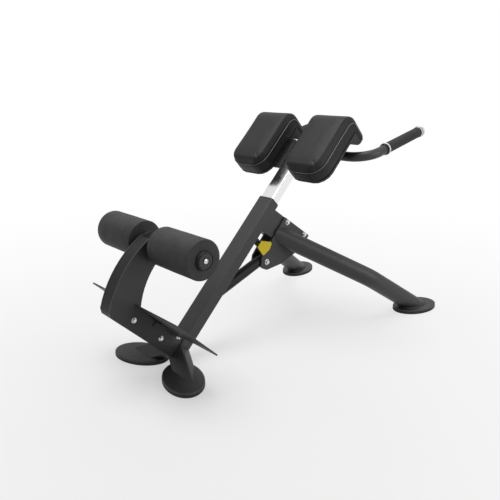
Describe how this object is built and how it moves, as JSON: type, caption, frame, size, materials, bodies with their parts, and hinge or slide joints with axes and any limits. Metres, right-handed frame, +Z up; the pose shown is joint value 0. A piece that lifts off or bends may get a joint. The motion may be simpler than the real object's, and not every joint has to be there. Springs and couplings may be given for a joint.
{
  "type": "hyperextension bench",
  "caption": "Back extension bench: upright leaning at 45 degrees, sliding post with hip pads and hand grips, foam ankle rollers, foot plate, splayed legs on oval feet",
  "frame": {"origin": "centre of the bench's extent on the floor", "axes": "+X runs from the foot plate to the rear legs, +Y to the far side, +Z up; apart from the release tab and the bolt heads the bench is alike on both sides of y = 0"},
  "size_m": [1.4169, 0.8288, 0.8377],
  "materials": {
    "frame_paint": "matte",
    "chrome": "polished",
    "zinc_steel": "satin",
    "aluminium": "satin",
    "upholstery": "matte",
    "roller_foam": "matte",
    "black_rubber": "matte",
    "black_plastic": "matte",
    "yellow_plastic": "satin",
    "laminated_board": "satin"
  },
  "bodies": {
    "frame": {"main_upright": "frame_paint", "upright_gusset": "frame_paint", "brace_tube": "frame_paint", "bracket_plate_near": "frame_paint", "bracket_plate_far": "frame_paint", "bracket_spacer": "frame_paint", "front_leg_near": "frame_paint", "front_leg_far": "frame_paint", "rear_leg_near": "frame_paint", "rear_leg_far": "frame_paint", "arm_plate_near": "frame_paint", "arm_plate_far": "frame_paint", "arm_front_cover": "frame_paint", "arm_rear_cover": "frame_paint", "arm_beam": "frame_paint", "foot_plate": "frame_paint", "arm_bolt_front": "zinc_steel", "arm_bolt_rear": "zinc_steel", "bracket_bolt_front": "zinc_steel", "bracket_bolt_rear": "zinc_steel", "bracket_bolt_low": "zinc_steel", "foot_plate_bolt_near": "zinc_steel", "foot_plate_bolt_far": "zinc_steel", "roller_axle": "zinc_steel", "roller_bolt_near": "zinc_steel", "roller_bolt_far": "zinc_steel", "plunger_spring": "zinc_steel", "rubber_foot_front_near": "black_rubber", "rubber_foot_front_far": "black_rubber", "rubber_foot_rear_near": "black_rubber", "rubber_foot_rear_far": "black_rubber", "upright_top_sleeve": "black_plastic", "roller_end_cap_near": "black_plastic", "roller_end_cap_far": "black_plastic"},
    "post": {"chrome_post": "chrome", "post_bottom_slider": "black_plastic", "post_top_cap": "black_plastic", "pad_bracket_near": "frame_paint", "pad_bracket_far": "frame_paint", "pad_bolt_inner_near": "zinc_steel", "pad_bolt_inner_far": "zinc_steel", "pad_bolt_outer_near": "zinc_steel", "pad_bolt_outer_far": "zinc_steel", "pad_board_near": "laminated_board", "pad_board_far": "laminated_board", "hip_pad_near": "upholstery", "hip_pad_far": "upholstery", "handlebar": "frame_paint", "grip_ring_near": "aluminium", "grip_ring_far": "aluminium", "hand_grip_near": "black_rubber", "hand_grip_far": "black_rubber", "handle_end_cap_near": "aluminium", "handle_end_cap_far": "aluminium"},
    "lock": {"lock_plunger": "zinc_steel", "release_tab": "yellow_plastic"},
    "roller_near": {"foam_roller_near": "roller_foam", "roller_core_near": "black_plastic"},
    "roller_far": {"foam_roller_far": "roller_foam", "roller_core_far": "black_plastic"}
  },
  "joints": [
    {"name": "post_slide", "type": "slide", "parent": "frame", "child": "post", "axis": [0.7071, 0, 0.7071], "range_m": [-0.075, 0.075]},
    {"name": "lock_pull", "type": "slide", "parent": "frame", "child": "lock", "axis": [0.7071, 0, -0.7071], "range_m": [0, 0.01], "stiffness_N_per_m": 1500, "springref_m": -0.007, "deforming": ["plunger_spring"]},
    {"name": "roller_near_spin", "type": "hinge", "parent": "frame", "child": "roller_near", "pos_m": [-0.51315, 0, 0.45799], "axis": [0, 1, 0], "continuous": true},
    {"name": "roller_far_spin", "type": "hinge", "parent": "frame", "child": "roller_far", "pos_m": [-0.51315, 0, 0.45799], "axis": [0, 1, 0], "continuous": true}
  ]
}
